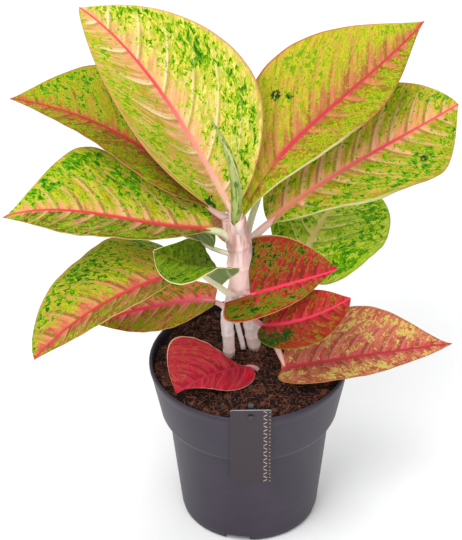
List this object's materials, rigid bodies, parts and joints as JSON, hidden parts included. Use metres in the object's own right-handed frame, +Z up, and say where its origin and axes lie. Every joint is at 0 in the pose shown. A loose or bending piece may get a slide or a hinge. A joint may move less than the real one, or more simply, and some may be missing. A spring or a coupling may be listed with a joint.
{
  "type": "potted chinese evergreen",
  "caption": "Potted chinese evergreen with pink-veined green, lime and red leaves on pale stems, in a dark plastic nursery pot of soil with a tag leaning on its rim.",
  "frame": {"origin": "middle of the pot's base, on the plane that it stands on", "axes": "+Z up, -Y towards the front where the tag leans, +X to the right as seen from the front"},
  "size_m": [0.3075, 0.1786, 0.3746],
  "materials": {
    "pot": "moulded satin",
    "soil": "coarse damp potting mix",
    "stem": "smooth waxy",
    "leaf_lime": "waxy satin",
    "leaf_green": "waxy satin",
    "leaf_pink": "waxy satin",
    "leaf_red": "waxy satin",
    "tag": "printed satin card",
    "hook": "moulded"
  },
  "bodies": {
    "root": {"pot": "pot", "soil": "soil", "stems": "stem", "leaf_top_left": "leaf_lime", "leaf_top_right": "leaf_lime", "leaf_right": "leaf_lime", "leaf_back": "leaf_green", "leaf_back_left": "leaf_lime", "leaf_left": "leaf_green", "leaf_low_left": "leaf_green", "leaf_pink_left": "leaf_pink", "leaf_cupped": "leaf_green", "leaf_folded": "leaf_green", "leaf_back_right": "leaf_green", "leaf_red_right": "leaf_red", "leaf_red_small": "leaf_red", "leaf_dusky_right": "leaf_pink", "leaf_red_front": "leaf_red", "leaf_spike": "leaf_green", "tag": "tag", "tag_hook": "hook"}
  },
  "joints": []
}
